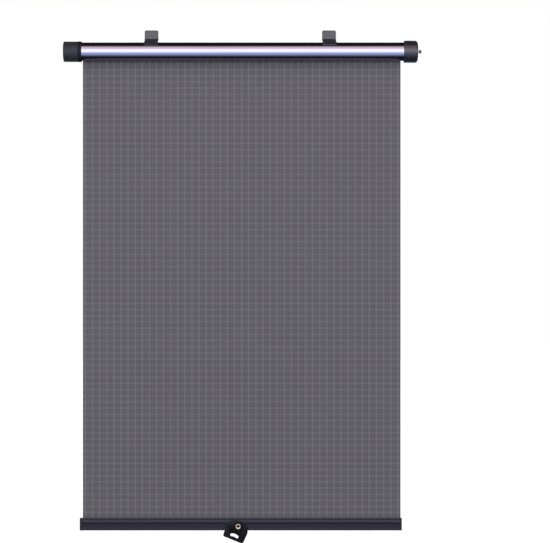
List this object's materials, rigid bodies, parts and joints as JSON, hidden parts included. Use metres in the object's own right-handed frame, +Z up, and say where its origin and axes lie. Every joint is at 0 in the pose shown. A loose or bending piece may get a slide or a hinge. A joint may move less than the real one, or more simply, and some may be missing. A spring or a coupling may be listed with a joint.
{
  "type": "roller sunshade",
  "caption": "Roller sunshade for a car side window: mesh cloth on a spring roller in a tube, weighted bottom bar with a pull tab, release button and hanging clips.",
  "frame": {"origin": "on the axis of the housing tube, half way along the cloth: the clips hold the shade up round this axis", "axes": "+Z up, against the pull of the bar; +X along the tube towards the release button; +Y towards the window glass"},
  "size_m": [0.4496, 0.0282, 0.6456],
  "materials": {
    "polished_tube": "dark polished metal, near mirror, with a narrow clear highlight",
    "end_cap_plastic": "black moulded plastic, satin",
    "clip_plastic": "violet black moulded plastic, glossy",
    "bar_plastic": "blue black extruded plastic, satin, with fine lines along its length",
    "mesh_cloth": "dark grey coated mesh with a raised grid of thicker yarns",
    "eyelet_metal": "pale brass, polished by use",
    "spring_steel": "oiled drawn wire and rod",
    "roller_aluminium": "plain drawn aluminium tube",
    "inner_plastic": "grey moulded plastic"
  },
  "bodies": {
    "housing": {"housing_tube": "polished_tube", "left_end_cap": "end_cap_plastic", "left_collar": "end_cap_plastic", "right_end_cap": "end_cap_plastic", "bearing_plug": "inner_plastic", "spring_shaft": "spring_steel", "spring_anchor": "inner_plastic", "counter_spring": "spring_steel", "return_spring": "spring_steel"},
    "roller": {"roller_tube": "roller_aluminium", "spring_bush": "inner_plastic", "brake_hub": "inner_plastic"},
    "button": {"release_button": "end_cap_plastic", "brake_cone": "inner_plastic"},
    "bar": {"bottom_bar": "bar_plastic", "cloth": "mesh_cloth", "hem_rod": "spring_steel", "bar_left_plug": "bar_plastic", "bar_right_plug": "bar_plastic", "eyelet": "eyelet_metal", "eyelet_washer": "eyelet_metal"},
    "tab": {"pull_tab": "end_cap_plastic"},
    "clip_left": {"left_clip": "clip_plastic"},
    "clip_right": {"right_clip": "clip_plastic"}
  },
  "joints": [
    {"name": "bar_slide", "type": "slide", "parent": "housing", "child": "bar", "axis": [0, 0, 1], "range_m": [0, 0.572], "deforming": ["cloth"]},
    {"name": "roller_spin", "type": "hinge", "parent": "housing", "child": "roller", "pos_m": [0, 0, 0], "axis": [1, 0, 0], "range_deg": [0, 3752]},
    {"name": "button_press", "type": "slide", "parent": "housing", "child": "button", "axis": [-1, 0, 0], "range_m": [0, 0.003], "stiffness_N_per_m": 300, "springref_m": -0.002, "deforming": ["return_spring"]},
    {"name": "tab_swivel", "type": "hinge", "parent": "bar", "child": "tab", "pos_m": [-0.0045, 0.0028, -0.5966], "axis": [0, 1, 0], "range_deg": [-77, 33]},
    {"name": "left_clip_slide", "type": "slide", "parent": "housing", "child": "clip_left", "axis": [1, 0, 0], "range_m": [-0.05, 0.05]},
    {"name": "right_clip_slide", "type": "slide", "parent": "housing", "child": "clip_right", "axis": [1, 0, 0], "range_m": [-0.05, 0.05]}
  ],
  "couplings": [
    {"joint": "roller_spin", "follows": "bar_slide", "rad_per_m": 114.4}
  ]
}
